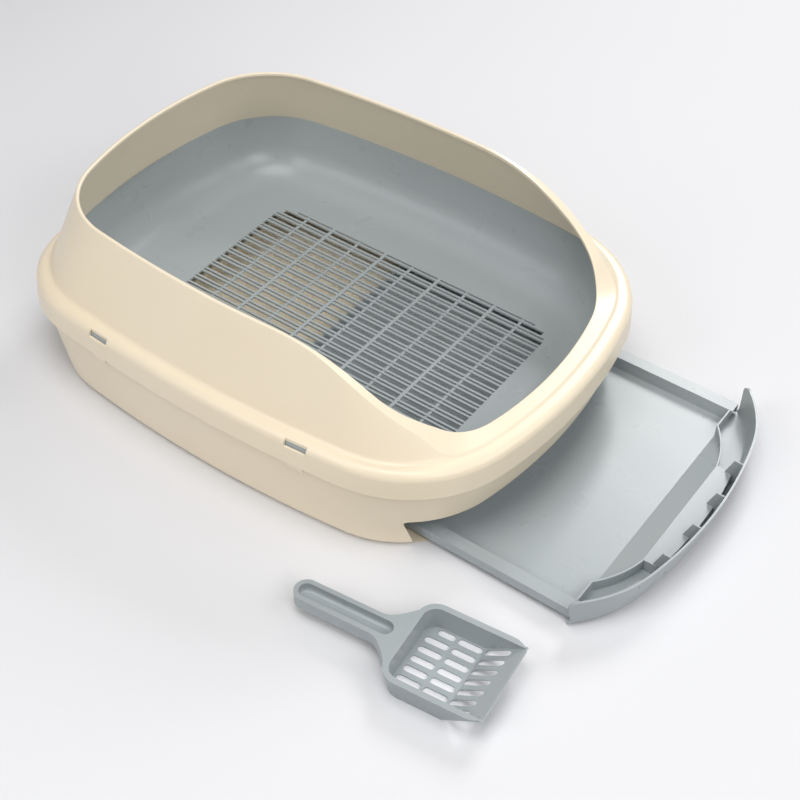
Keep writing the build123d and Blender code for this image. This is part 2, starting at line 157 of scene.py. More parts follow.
def finishPiece(bm, name, body, nodes, material, bevel, angle=35):
    # makes the object, softens edges sharper than the angle, and says what it rides on and replaces
    bmesh.ops.scale(bm, vec=[toMetres] * 3, verts=bm.verts)
    mesh = bpy.data.meshes.new(name)
    bm.to_mesh(mesh)
    bm.free()
    piece = bpy.data.objects.new(name, mesh)
    bpy.context.scene.collection.objects.link(piece)
    mesh.materials.append(material)
    for face in mesh.polygons:
        face.use_smooth = True
        face.material_index = 0
    mesh.set_sharp_from_angle(angle=math.radians(angle))
    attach(piece, body)
    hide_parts(*nodes)
    rounding = piece.modifiers.new("edgeRounding", "BEVEL")
    rounding.width = bevel
    rounding.segments = 2
    rounding.limit_method = "ANGLE"
    rounding.angle_limit = math.radians(angle)
    rounding.harden_normals = True
    weighted = piece.modifiers.new("flatNormals", "WEIGHTED_NORMAL")
    weighted.keep_sharp = True
    return piece


def cutAway(bm, cutter, crossing=False):
    # takes the closed form in cutter out of the one in bm; crossing is for parts that overlap
    objects = []
    for form in (bm, cutter):
        mesh = bpy.data.meshes.new("form")
        form.to_mesh(mesh)
        form.free()
        holder = bpy.data.objects.new("form", mesh)
        bpy.context.scene.collection.objects.link(holder)
        objects.append(holder)
    cut = objects[0].modifiers.new("cut", "BOOLEAN")
    cut.operation = "DIFFERENCE"
    cut.solver = "EXACT"
    cut.use_self = crossing
    cut.object = objects[1]
    result = bmesh.new()
    result.from_object(objects[0], bpy.context.evaluated_depsgraph_get())
    for holder in objects:
        mesh = holder.data
        bpy.data.objects.remove(holder)
        bpy.data.meshes.remove(mesh)
    return result


def thickened(bm, wall):
    # gives a sheet its wall, on the side away from its normals
    mesh = bpy.data.meshes.new("sheet")
    bm.to_mesh(mesh)
    bm.free()
    holder = bpy.data.objects.new("sheet", mesh)
    bpy.context.scene.collection.objects.link(holder)
    thick = holder.modifiers.new("wall", "SOLIDIFY")
    thick.thickness = wall
    thick.offset = -1
    result = bmesh.new()
    result.from_object(holder, bpy.context.evaluated_depsgraph_get())
    bpy.data.objects.remove(holder)
    bpy.data.meshes.remove(mesh)
    return result


def block(bm, low, high):
    # a box between two corners
    made = bmesh.ops.create_cube(bm, size=1)["verts"]
    size = [b - a for a, b in zip(low, high)]
    bmesh.ops.scale(bm, vec=size, verts=made)
    bmesh.ops.translate(bm, vec=[(a + b) / 2 for a, b in zip(low, high)], verts=made)
    return made


# Both plastics: how their colour drifts, their edges wear and their gloss changes
mould = {"driftScale": 5, "driftDetail": 3, "driftLow": 0.35, "driftHigh": 0.7,
         "edgeRadius": 0.0009, "edgeSamples": 4, "edgePlain": 0.97, "edgeWorn": 0.8,
         "patchScale": 30, "patchDetail": 2, "glossShift": 0.02, "grainDetail": 2}


def socket(group, name, kind, way, value=None):
    made = group.interface.new_socket(name=name, in_out=way, socket_type=kind)
    if value is not None:
        made.default_value = value


def mouldedSurface():
    # colour drift, edge wear, dull and glossy patches and fine grain of a moulded shell
    group = bpy.data.node_groups.new("mouldedSurface", "ShaderNodeTree")
    socket(group, "Colour", "NodeSocketColor", "INPUT", (0.5, 0.5, 0.5, 1))
    socket(group, "Drift Colour", "NodeSocketColor", "INPUT", (0.5, 0.5, 0.5, 1))
    socket(group, "Edge Colour", "NodeSocketColor", "INPUT", (0.8, 0.8, 0.8, 1))
    socket(group, "Edge Wear", "NodeSocketFloat", "INPUT", 0.3)
    socket(group, "Roughness", "NodeSocketFloat", "INPUT", 0.3)
    socket(group, "Grain Scale", "NodeSocketFloat", "INPUT", 900)
    socket(group, "Colour", "NodeSocketColor", "OUTPUT")
    socket(group, "Roughness", "NodeSocketFloat", "OUTPUT")
    socket(group, "Height", "NodeSocketFloat", "OUTPUT")
    nodes, links = group.nodes, group.links
    start = nodes.new("NodeGroupInput")
    end = nodes.new("NodeGroupOutput")
    place = nodes.new("ShaderNodeTexCoord")

    drift = nodes.new("ShaderNodeTexNoise")
    drift.inputs["Scale"].default_value = mould["driftScale"]
    drift.inputs["Detail"].default_value = mould["driftDetail"]
    links.new(place.outputs["Object"], drift.inputs["Vector"])
    driftShare = nodes.new("ShaderNodeMapRange")
    driftShare.inputs["From Min"].default_value = mould["driftLow"]
    driftShare.inputs["From Max"].default_value = mould["driftHigh"]
    links.new(drift.outputs["Fac"], driftShare.inputs["Value"])
    tinted = nodes.new("ShaderNodeMix")
    tinted.data_type = "RGBA"
    links.new(driftShare.outputs["Result"], tinted.inputs["Factor"])
    links.new(start.outputs["Colour"], tinted.inputs["A"])
    links.new(start.outputs["Drift Colour"], tinted.inputs["B"])

    # near an edge the rounded normal turns away from the plain one
    geometry = nodes.new("ShaderNodeNewGeometry")
    rounded = nodes.new("ShaderNodeBevel")
    rounded.samples = mould["edgeSamples"]
    rounded.inputs["Radius"].default_value = mould["edgeRadius"]
    turned = nodes.new("ShaderNodeVectorMath")
    turned.operation = "DOT_PRODUCT"
    links.new(geometry.outputs["Normal"], turned.inputs[0])
    links.new(rounded.outputs["Normal"], turned.inputs[1])
    edge = nodes.new("ShaderNodeMapRange")
    edge.inputs["From Min"].default_value = mould["edgePlain"]
    edge.inputs["From Max"].default_value = mould["edgeWorn"]
    links.new(turned.outputs["Value"], edge.inputs["Value"])
    patch = nodes.new("ShaderNodeTexNoise")
    patch.inputs["Scale"].default_value = mould["patchScale"]
    patch.inputs["Detail"].default_value = mould["patchDetail"]
    links.new(place.outputs["Object"], patch.inputs["Vector"])
    worn = nodes.new("ShaderNodeMath")
    worn.operation = "MULTIPLY"
    links.new(edge.outputs["Result"], worn.inputs[0])
    links.new(patch.outputs["Fac"], worn.inputs[1])
    wornShare = nodes.new("ShaderNodeMath")
    wornShare.operation = "MULTIPLY"
    links.new(worn.outputs["Value"], wornShare.inputs[0])
    links.new(start.outputs["Edge Wear"], wornShare.inputs[1])
    edged = nodes.new("ShaderNodeMix")
    edged.data_type = "RGBA"
    links.new(wornShare.outputs["Value"], edged.inputs["Factor"])
    links.new(tinted.outputs["Result"], edged.inputs["A"])
    links.new(start.outputs["Edge Colour"], edged.inputs["B"])
    links.new(edged.outputs["Result"], end.inputs["Colour"])

    gloss = nodes.new("ShaderNodeMapRange")
    gloss.inputs["To Min"].default_value = -mould["glossShift"]
    gloss.inputs["To Max"].default_value = mould["glossShift"]
    links.new(patch.outputs["Fac"], gloss.inputs["Value"])
    rough = nodes.new("ShaderNodeMath")
    links.new(start.outputs["Roughness"], rough.inputs[0])
    links.new(gloss.outputs["Result"], rough.inputs[1])
    links.new(rough.outputs["Value"], end.inputs["Roughness"])

    grain = nodes.new("ShaderNodeTexNoise")
    grain.inputs["Detail"].default_value = mould["grainDetail"]
    links.new(place.outputs["Object"], grain.inputs["Vector"])
    links.new(start.outputs["Grain Scale"], grain.inputs["Scale"])
    links.new(grain.outputs["Fac"], end.inputs["Height"])
    return group


def plastic(name, surface, look):
    material = bpy.data.materials.new(name)
    material.use_nodes = True
    nodes, links = material.node_tree.nodes, material.node_tree.links
    shader = nodes["Principled BSDF"]
    part = nodes.new("ShaderNodeGroup")
    part.node_tree = surface
    for socketName, value in look["surface"].items():
        part.inputs[socketName].default_value = value
    bump = nodes.new("ShaderNodeBump")
    bump.inputs["Strength"].default_value = look["grainStrength"]
    bump.inputs["Distance"].default_value = look["grainDepth"]
    links.new(part.outputs["Height"], bump.inputs["Height"])
    links.new(part.outputs["Colour"], shader.inputs["Base Color"])
    links.new(part.outputs["Roughness"], shader.inputs["Roughness"])
    links.new(bump.outputs["Normal"], shader.inputs["Normal"])
    shader.inputs["IOR"].default_value = look["ior"]
    return material


creamLook = {
    "surface": {"Colour": (0.91, 0.8, 0.62, 1), "Drift Colour": (0.9, 0.78, 0.59, 1),
                "Edge Colour": (0.9, 0.85, 0.74, 1), "Edge Wear": 0.5, "Roughness": 0.3,
                "Grain Scale": 900},
    "grainStrength": 0.12, "grainDepth": 0.0001, "ior": 1.5,
}
greyLook = {
    "surface": {"Colour": (0.385, 0.424, 0.436, 1), "Drift Colour": (0.37, 0.41, 0.424, 1),
                "Edge Colour": (0.58, 0.62, 0.63, 1), "Edge Wear": 0.6, "Roughness": 0.28,
                "Grain Scale": 900},
    "grainStrength": 0.12, "grainDepth": 0.0001, "ior": 1.5,
}
surface = mouldedSurface()
cream = plastic("creamPlastic", surface, creamLook)
grey = plastic("greyPlastic", surface, greyLook)
print("plastics ready")

# Ovals that more than one piece follows
skirtLow = (280, 281, 218.4, 128, 98)
skirtHigh = grow(skirtLow, -1.4)
tubRim = grow(skirtHigh, -2.9)
ways = outwards(skirtLow)

# Splash guard. The wall's outer face climbs from crease to wallHead, its inner face ends in hollow
# at headLevel, and both stop at the rim line.
guard = {"bottom": 78, "flange": 106.6, "wall": 2.4, "flangeRound": 9, "creaseRound": 3.2,
         "crease": (266, 271, 204, 116, 98), "wallHead": (200, 245.6, 172.8, 86, 89.6),
         "mouth": (247.5, 242, 169.2, 92, 86), "hollow": (196.4, 243.2, 170.4, 83.6, 87.2),
         "headLevel": 182.5, "rimDepth": 3, "rimRound": 1.3, "lipRound": 0.6,
         "lipSteps": 3, "shoulderSteps": 8, "creaseSteps": 4, "rimSteps": 3, "underSteps": 6,
         "windows": (112, -125), "windowLength": 23.4, "windowSill": 96.6, "windowInset": 3.6,
         "windowOver": 20, "tongueLength": 17, "tongueDrop": 3.6}
# side view of the rim: place along, height and slope
rimLine = [(50, 182.5, 0), (120, 171.5, -0.364), (180, 141.5, -0.521), (215, 121, -0.852), (242, 109, 0)]


def rimHeight(x):
    if x <= rimLine[0][0]:
        return rimLine[0][1]
    for (x0, z0, s0), (x1, z1, s1) in zip(rimLine, rimLine[1:]):
        if x < x1:
            run, t = x1 - x0, (x - x0) / (x1 - x0)
            return (z0 * (1 + 2 * t) * (1 - t) ** 2 + z1 * t * t * (3 - 2 * t)
                    + run * s0 * t * (1 - t) ** 2 - run * s1 * t * t * (1 - t))
    return rimLine[-1][1]


def climb(foot, head):
    # where the straight line from foot to head reaches the rim line
    low, high = 0.0, 1.0
    for halving in range(30):
        middle = (low + high) / 2
        point = foot.lerp(head, middle)
        if point.z < rimHeight(point.x):
            low = middle
        else:
            high = middle
    return foot.lerp(head, low)


def makeGuard():
    g = guard
    bm = bmesh.new()
    flangeUnder = g["flange"] - g["wall"]
    # straight lines that the wall's two faces follow
    lines = []
    for low, high in ((g["crease"], g["wallHead"]), (grow(g["crease"], -g["wall"]), g["hollow"])):
        feet = ring(bm, low, flangeUnder)
        heads = ring(bm, high, g["headLevel"])
        lines.append([(a.co.copy(), b.co.copy()) for a, b in zip(feet, heads)])
        bmesh.ops.delete(bm, geom=feet + heads, context="VERTS")
    mouth = ring(bm, g["mouth"], g["headLevel"])
    edges = [Vector((v.co.x, v.co.y, rimHeight(v.co.x))) for v in mouth]
    bmesh.ops.delete(bm, geom=mouth, context="VERTS")
    outer, inner = lines
    tops = [climb(a, b) for a, b in outer]
    inwards = [Vector((edge.x - top.x, edge.y - top.y, 0)).normalized() for top, edge in zip(tops, edges)]

    def row(places):
        points = ring(bm, g["crease"], flangeUnder)
        for point, place in zip(points, places):
            point.co = place
        return points

    rows = []
    # outside of the skirt and its shoulder
    lip = g["lipRound"]
    for step in range(g["lipSteps"] + 1):
        turn = math.radians(90 * step / g["lipSteps"])
        shape = grow(skirtLow, -lip * (1 - math.sin(turn)))
        rows.append(ring(bm, shape, g["bottom"] + lip * (1 - math.cos(turn))))
    shoulder = g["flangeRound"]
    for step in range(g["shoulderSteps"] + 1):
        turn = math.radians(90 * step / g["shoulderSteps"])
        shape = grow(skirtHigh, -shoulder * (1 - math.cos(turn)))
        rows.append(ring(bm, shape, g["flange"] - shoulder * (1 - math.sin(turn))))
    # soft crease where the wall leaves the flange, smaller where the wall is low
    feet = [a.lerp(b, g["wall"] / (g["headLevel"] - flangeUnder)) for a, b in outer]
    rounds = [min(g["creaseRound"], 0.45 * (top.z - g["flange"])) for top in tops]
    for step in range(g["creaseSteps"] + 1):
        turn = math.radians(90 * step / g["creaseSteps"])
        places = []
        for (a, b), foot, way, size in zip(outer, feet, ways, rounds):
            onWall = foot + (b - a) * (size * (1 - math.cos(turn)) / (b.z - a.z))
            places.append(onWall + way * size * (1 - math.sin(turn)))
        rows.append(row(places))
    # wall up to the rounded rim
    size = g["rimRound"]
    starts = [v.co.copy() for v in rows[-1]]
    below = [foot.lerp(top, max(0.0, 1 - size / max(top.z - foot.z, 0.01))) for foot, top in zip(feet, tops)]
    below = [b if b.z > p.z else p.lerp(t, 0.2) for b, p, t in zip(below, starts, tops)]
    for share in (0.25, 0.5, 0.75, 1):
        rows.append(row([a.lerp(b, share) for a, b in zip(starts, below)]))
    for step in range(1, g["rimSteps"] + 1):
        turn = math.radians(90 * step / g["rimSteps"])
        places = []
        for top, inward, start in zip(tops, inwards, below):
            soft = min(size, top.z - start.z)
            places.append(start.lerp(top, math.sin(turn)) + inward * soft * (1 - math.cos(turn)))
        rows.append(row(places))
    # inner edge of the rim and its underside
    soft = min(size, g["rimDepth"] / 2)
    for step in range(g["rimSteps"] + 1):
        turn = math.radians(90 * step / g["rimSteps"])
        places = []
        for inward, edge in zip(inwards, edges):
            back = edge - inward * soft * (1 - math.sin(turn))
            back.z = rimHeight(back.x) - soft * (1 - math.cos(turn))
            places.append(back)
        rows.append(row(places))
    rows.append(row([Vector((e.x, e.y, e.z - g["rimDepth"])) for e in edges]))
    # inner face of the wall; where the rim is as low as the flange it only starts to climb
    drops = []
    for a, b in inner:
        meet = climb(a, b)
        if meet.z > a.z + 0.1:
            drops.append(a.lerp(meet, max(0.05, 1 - g["rimDepth"] / (meet.z - a.z))))
        else:
            drops.append(a.lerp(b, 0.001))
    rows.append(row(drops))
    for share in (0.5, 1):
        rows.append(row([d.lerp(a, share) for d, (a, b) in zip(drops, inner)]))
    # underside of the flange and inside of the skirt
    inRound = shoulder - g["wall"]
    for step in range(g["underSteps"], -1, -1):
        turn = math.radians(90 * step / g["underSteps"])
        shape = grow(skirtHigh, -(inRound * (1 - math.cos(turn)) + g["wall"]))
        rows.append(ring(bm, shape, flangeUnder - inRound * (1 - math.sin(turn))))
    rows.append(ring(bm, grow(skirtLow, -g["wall"]), g["bottom"]))
    join(bm, rows + rows[:1])
    bmesh.ops.recalc_face_normals(bm, faces=bm.faces)

    # snap tongues drawn down from the skirt's bottom edge
    for centre in g["windows"]:
        for end in (-1, 1):
            low = [f for f in bm.faces if f.calc_center_median().z < g["bottom"] + 0.5]
            cutLine(bm, low, (centre + end * g["tongueLength"] / 2, 0, 0), (1, 0, 0))
        tongues = []
        for face in bm.faces:
            middle = face.calc_center_median()
            if abs(middle.x - centre) < g["tongueLength"] / 2 and middle.z < g["bottom"] + 0.05:
                tongues.append(face)
        drawn = bmesh.ops.extrude_face_region(bm, geom=tongues)["geom"]
        bmesh.ops.translate(bm, vec=(0, 0, -g["tongueDrop"]), verts=vertsOf(drawn))
        bmesh.ops.delete(bm, geom=tongues, context="FACES_ONLY")

    # windows in the shoulder, their inner side along the oval
    cutter = bmesh.new()
    for centre in g["windows"]:
        x0, x1 = centre - g["windowLength"] / 2, centre + g["windowLength"] / 2
        for side in (-1, 1):
            y0, y1 = sorted((0, side * (skirtLow[2] + g["windowOver"])))
            made = block(cutter, (x0, y0, g["windowSill"]), (x1, y1, g["flange"] + g["windowOver"]))
            for v in made:
                if v.co.y == 0:
                    v.co.y = side * halfWidthAt(grow(skirtHigh, -g["windowInset"]), v.co.x)
    return cutAway(bm, cutter)


finishPiece(makeGuard(), "splashGuard", "guard", ["splash_guard"], cream, 0.0004)
print("splash guard ready")


# Base
tub = {"foot": (260, 252, 208.6, 108, 90), "footRound": 12, "height": 91, "wall": 2.6,
       "roundSteps": 8, "wallShares": (0.4, 0.7, 1),
       "openingHalfLow": 170.5, "openingHalfHigh": 180.9, "openingHigh": 38.5, "openingRound": 3.75,
       "openingFrom": 150, "openingLong": 200, "sink": 0.4,
       "guideBack": -180, "guideFront": 196, "guideHalf": 160.6, "guideThick": 2.4, "guideTall": 9,
       "stopBack": -183.4, "stopFront": -181, "stopHalf": 149, "stopTall": 8}


def makeTub():
    t = tub
    bm = bmesh.new()

    def shellRows(inset, floorLevel, size):
        # rings of one face of the shell, round the foot and up the wall
        low = ring(bm, grow(t["foot"], -inset), 0)
        high = ring(bm, grow(tubRim, -inset), t["height"])
        lines = [(a.co.copy(), b.co.copy()) for a, b in zip(low, high)]
        bmesh.ops.delete(bm, geom=low + high, context="VERTS")
        rows = []
        for step in range(t["roundSteps"] + 1):
            places = ring(bm, t["foot"], 0)
            for place, (a, b), way in zip(places, lines, ways):
                lean = math.atan2((b - a).dot(way), t["height"])
                reach = size * math.tan((math.pi / 2 - lean) / 2)
                centre = a.lerp(b, floorLevel / t["height"]) - way * reach
                turn = -math.pi / 2 + (math.pi / 2 - lean) * step / t["roundSteps"]
                rise = Vector((0, 0, size + size * math.sin(turn)))
                place.co = centre + way * size * math.cos(turn) + rise
            rows.append(places)
        for share in t["wallShares"]:
            places = ring(bm, t["foot"], 0)
            for place, (a, b), under in zip(places, lines, rows[t["roundSteps"]]):
                place.co = under.co.lerp(b, share)
            rows.append(places)
        return rows

    outer = shellRows(0, 0, t["footRound"])
    inner = shellRows(t["wall"], t["wall"], t["footRound"] - t["wall"])
    join(bm, outer + inner[::-1])
    for end in (outer[0], inner[0]):
        bmesh.ops.contextual_create(bm, geom=ringEdges(end))
    bmesh.ops.recalc_face_normals(bm, faces=bm.faces)

    # opening for the drawer, with rounded upper corners
    low, high = t["openingHalfLow"], t["openingHalfHigh"]
    section = ((-low, t["wall"]), (low, t["wall"]), (high, t["openingHigh"]), (-high, t["openingHigh"]))
    cutter = bmesh.new()
    corners = [cutter.verts.new((t["openingFrom"], y, z)) for y, z in section]
    cutter.faces.new(corners)
    bmesh.ops.bevel(cutter, geom=corners[2:], offset=t["openingRound"], offset_type="OFFSET", segments=8,
                    profile=0.5, affect="VERTICES", material=-1)
    drawn = bmesh.ops.extrude_face_region(cutter, geom=list(cutter.faces))["geom"]
    bmesh.ops.translate(cutter, vec=(t["openingLong"], 0, 0), verts=vertsOf(drawn))
    bmesh.ops.recalc_face_normals(cutter, faces=cutter.faces)
    bm = cutAway(bm, cutter)

    # guides beside the drawer and the stop behind it, sunk a little into the floor
    foot = t["wall"] - t["sink"]
    for side in (-1, 1):
        near, far = sorted((side * t["guideHalf"], side * (t["guideHalf"] + t["guideThick"])))
        block(bm, (t["guideBack"], near, foot), (t["guideFront"], far, t["wall"] + t["guideTall"]))
    block(bm, (t["stopBack"], -t["stopHalf"], foot), (t["stopFront"], t["stopHalf"], t["wall"] + t["stopTall"]))
    return bm


finishPiece(makeTub(), "baseTub", "base", ["base_tub"], cream, 0.0005)
print("base ready")


# Sieve pan: a sheet from the rim down into the bowl, its grille cut out of the flat floor
pan = {"lipRound": 7.5, "wall": 2.4, "bowlTop": (263.6, 268.6, 201.6, 113.6, 95.6), "lean": 15,
       "floor": 41, "bowlRound": 44, "edgeRound": 1.2, "flatRing": 4,
       "lipSteps": 6, "edgeSteps": 3, "bowlSteps": 12,
       "grilleBack": -163, "grilleLength": 347.5, "cells": 5, "pairs": 17,
       "slat": 2.3, "wideSlot": 6.2, "narrowSlot": 2.6, "rib": 3.4, "corner": 20,
       "lowRib": 3, "lowRibDrop": 1}


def slotRows():
    # middle and half width of each row of slots
    pitch = pan["wideSlot"] + pan["narrowSlot"] + 2 * pan["slat"]
    rows = [((i - (pan["pairs"] - 1) / 2) * pitch, pan["wideSlot"] / 2) for i in range(pan["pairs"])]
    rows += [((i - pan["pairs"] / 2) * pitch, pan["narrowSlot"] / 2) for i in range(pan["pairs"] + 1)]
    return sorted(rows)


def panSheet(bm):
    # rim, wall and bowl as one sheet; gives back the face of its flat floor
    p = pan
    top = guard["flange"] - guard["wall"]
    rows = [ring(bm, tubRim, tub["height"])]
    for step in range(p["lipSteps"] + 1):
        turn = math.radians(90 * step / p["lipSteps"])
        shape = grow(tubRim, -p["lipRound"] * (1 - math.cos(turn)))
        rows.append(ring(bm, shape, top - p["lipRound"] * (1 - math.sin(turn))))
    lean = math.radians(p["lean"])
    soft = p["edgeRound"]
    reach = soft * math.tan((math.pi / 2 - lean) / 2)
    for step in range(p["edgeSteps"] + 1):
        turn = (math.pi / 2 - lean) * step / p["edgeSteps"]
        shape = grow(p["bowlTop"], reach - soft * math.sin(turn))
        rows.append(ring(bm, shape, top - soft * (1 - math.cos(turn))))
    size = p["bowlRound"]
    centre = (top - p["floor"]) * math.tan(lean) + size * math.tan((math.pi / 2 - lean) / 2)
    start = p["floor"] + size * (1 - math.sin(lean))
    rows.append(ring(bm, grow(p["bowlTop"], -(top - start) * math.tan(lean) * 0.5), (top + start) / 2))
    for step in range(p["bowlSteps"] + 1):
        turn = lean + (math.pi / 2 - lean) * step / p["bowlSteps"]
        shape = grow(p["bowlTop"], -(centre - size * math.cos(turn)))
        rows.append(ring(bm, shape, p["floor"] + size * (1 - math.sin(turn))))
    rows.append(ring(bm, grow(p["bowlTop"], -centre - p["flatRing"]), p["floor"]))
    join(bm, rows)
    floor = bmesh.ops.contextual_create(bm, geom=ringEdges(rows[-1]))["faces"][0]
    bmesh.ops.recalc_face_normals(bm, faces=bm.faces)
    if floor.normal.z < 0:
        bmesh.ops.reverse_faces(bm, faces=bm.faces)
    return floor


def makePan():
    # the flat floor is scored along every slot, then the slots drop out; faces of the grille's field
    # are marked by their material index until then
    p = pan
    bm = bmesh.new()
    panSheet(bm).material_index = 1
    rows = slotRows()
    halfField = rows[-1][0] + rows[-1][1]
    cell = p["grilleLength"] / p["cells"]
    back, front = p["grilleBack"], p["grilleBack"] + p["grilleLength"]

    def field():
        return [f for f in bm.faces if f.material_index == 1]

    def keepInside(test):
        for f in field():
            if not test(f.calc_center_median()):
                f.material_index = 0

    def inRow(middle, half):
        return [f for f in field() if abs(f.calc_center_median().y - middle) < half]

    for y in (-halfField, halfField):
        cutLine(bm, field(), (0, y, 0), (0, 1, 0))
    keepInside(lambda m: abs(m.y) < halfField)
    for x in (back, front):
        cutLine(bm, field(), (x, 0, 0), (1, 0, 0))
    keepInside(lambda m: back < m.x < front)
    for middle, half in rows:
        for y in (middle - half, middle + half):
            if abs(y) < halfField - 0.01:
                near = [f for f in field() if min(v.co.y for v in f.verts) < y < max(v.co.y for v in f.verts)]
                cutLine(bm, near, (0, y, 0), (0, 1, 0))
    ribs = [back + index * cell for index in range(1, p["cells"])]
    for rib in ribs:
        for side in (-1, 1):
            cutLine(bm, field(), (rib + side * p["rib"] / 2, 0, 0), (1, 0, 0))
    # near the field's rounded corners the rows are trimmed
    slots = []
    for middle, half in rows:
        into = max(0.0, abs(middle) + half - halfField + p["corner"])
        trim = p["corner"] - math.sqrt(max(0.0, p["corner"] ** 2 - into ** 2))
        if trim > 0.05:
            for x in (back + trim, front - trim):
                cutLine(bm, inRow(middle, half), (x, 0, 0), (1, 0, 0))
        for f in inRow(middle, half):
            x = f.calc_center_median().x
            if back + trim < x < front - trim and min(abs(x - rib) for rib in ribs) > p["rib"] / 2:
                slots.append(f)
    bmesh.ops.delete(bm, geom=slots, context="FACES")
    for f in field():
        f.material_index = 0
    return thickened(bm, p["wall"])


def makeLowRibs():
    # bars under the middle of each cell, across the grille
    p = pan
    bm = bmesh.new()
    middle, half = slotRows()[-1]
    for index in range(p["cells"]):
        x = p["grilleBack"] + (index + 0.5) * p["grilleLength"] / p["cells"]
        block(bm, (x - p["lowRib"] / 2, -middle - half, p["floor"] - p["wall"]),
              (x + p["lowRib"] / 2, middle + half, p["floor"] - p["lowRibDrop"]))
    return bm


finishPiece(makePan(), "sievePan", "pan", ["litter_pan"], grey, 0.0002)
finishPiece(makeLowRibs(), "sieveLowRibs", "pan", [], grey, 0.0002)
print("sieve pan ready")


# Catch drawer, given closed and then moved out. Its sheets are the tray with its rails, the ramp with
# the ledge on top, and the bowed panel.
tray = {"out": 164, "back": -180, "rampFoot": 209, "rampTop": 233.5, "bottom": 2.9, "floor": 4.9,
        "rail": 17.2, "railHalf": 160, "railLip": 7, "railReach": 3, "wallTop": 147, "wallFoot": 144.5,
        "wall": 2, "bend": 121, "ledgeHalf": 72, "bulge": 3.6, "ledgeGap": 5.4, "ledgeRound": 6,
        "panelHalf": 163.7, "panelFlare": 7, "panelLow": 3.3, "panelHigh": 37.8, "panelRound": 7,
        "panelLevels": (3.3, 4.2, 5.3, 6.6, 8, 10, 14, 20, 25, 29.4),
        "panelTurns": (10, 25, 40, 55, 70, 82, 90), "panelColumns": 64, "cornerMore": 20,
        "curveSteps": 12, "rimSteps": 20, "gussets": (-70.2, -23.4, 23.4, 70.2), "gussetThick": 1.6,
        "gussetWide": 9.5, "gussetFoot": 13, "gussetLevels": (36.2, 22, 12, 6, 3.4)}


def lofted(bm, low, high):
    # closed form between two outlines with as many points
    caps = [bm.faces.new([bm.verts.new(p) for p in points]) for points in (low, high[::-1])]
    bmesh.ops.bridge_loops(bm, edges=[e for f in caps for e in f.edges])


def flatPlate(bm, points, z0, z1):
    # plate with a given plan
    lofted(bm, [(x, y, z0) for x, y in points], [(x, y, z1) for x, y in points])


def sidePlate(bm, points, y0, y1):
    # plate with a given side view
    lofted(bm, [(x, y0, z) for x, z in points], [(x, y1, z) for x, z in points])


def panelAt(y, z):
    # outer face of the drawer panel, with the round of the base's bottom edge
    def plain(level):
        shape = between(tub["foot"], tubRim, level / tub["height"])
        return frontAt((*shape[:3], shape[3] + tray["cornerMore"], shape[4]), y)

    size = tub["footRound"]
    lean = math.atan2(plain(tub["height"]) - plain(0), tub["height"])
    if z > size * (1 - math.sin(lean)):
        return plain(z)
    return plain(size) - size / math.cos(lean) + math.sqrt(size ** 2 - (size - z) ** 2)


def panelHalfAt(z):
    # half width of the panel, wider with height and with rounded upper corners
    t = tray
    slope = t["panelFlare"] / (t["panelHigh"] - t["panelLow"])
    centre = t["panelHigh"] - t["panelRound"]
    if z < centre - t["panelRound"] * math.sin(math.atan(slope)):
        return t["panelHalf"] + slope * (z - t["panelLow"])
    middle = t["panelHalf"] + slope * (centre - t["panelLow"]) - t["panelRound"] / math.cos(math.atan(slope))
    return middle + math.sqrt(max(0, t["panelRound"] ** 2 - (z - centre) ** 2))


def sweptCurve():
    # plan of the low wall where it bows out to the ledge
    t = tray
    start, end = Vector((t["rampFoot"], t["bend"])), Vector((t["rampTop"], t["ledgeHalf"]))
    chord = end - start
    across = Vector((-chord.y, chord.x)).normalized()
    if across.x < 0:
        across = -across
    shares = [i / t["curveSteps"] for i in range(t["curveSteps"] + 1)]
    return [start + chord * share + across * t["bulge"] * (1 - (2 * share - 1) ** 2) for share in shares]


def ledgeFront():
    # plan of the ledge's front edge from +y to -y, with rounded corners, a gap behind the panel
    t = tray

    def edgeAt(y):
        return panelAt(y, t["rail"]) - t["wall"] - t["ledgeGap"]

    edge, size = t["ledgeHalf"] - t["ledgeRound"], t["ledgeRound"]
    points = []
    for angle in range(0, 91, 15):
        turn = math.radians(angle)
        points.append(Vector((edgeAt(edge) - size * (1 - math.sin(turn)), edge + size * math.cos(turn))))
    corner = len(points) - 1
    for step in range(1, 12):
        y = edge * (1 - step / 6)
        points.append(Vector((edgeAt(y), y)))
    return points + [Vector((p.x, -p.y)) for p in points[corner::-1]]


def facing(bm, way):
    # turns a sheet so that its largest face looks a given way
    bmesh.ops.recalc_face_normals(bm, faces=bm.faces)
    if max(bm.faces, key=lambda f: f.calc_area()).normal.dot(Vector(way)) < 0:
        bmesh.ops.reverse_faces(bm, faces=bm.faces)


def trayFloor():
    # floor with its leaning walls, rails and their lips
    t = tray
    bm = bmesh.new()
    section = [(t["railHalf"], t["railLip"]), (t["railHalf"], t["rail"]), (t["wallTop"], t["rail"]),
               (t["wallFoot"], t["floor"])]
    section += [(-y, z) for y, z in section[::-1]]
    line = [bm.verts.new((t["back"], y, z)) for y, z in section]
    edges = [bm.edges.new(pair) for pair in zip(line, line[1:])]
    front = vertsOf(bmesh.ops.extrude_edge_only(bm, edges=edges)["geom"])
    bmesh.ops.translate(bm, vec=(t["rampFoot"] - t["back"], 0, 0), verts=front)
    rails = [v for v in front if abs(v.co.y) > t["wallTop"] - 0.01]
    bmesh.ops.translate(bm, vec=(t["railReach"], 0, 0), verts=rails)
    facing(bm, (0, 0, 1))
    return bm


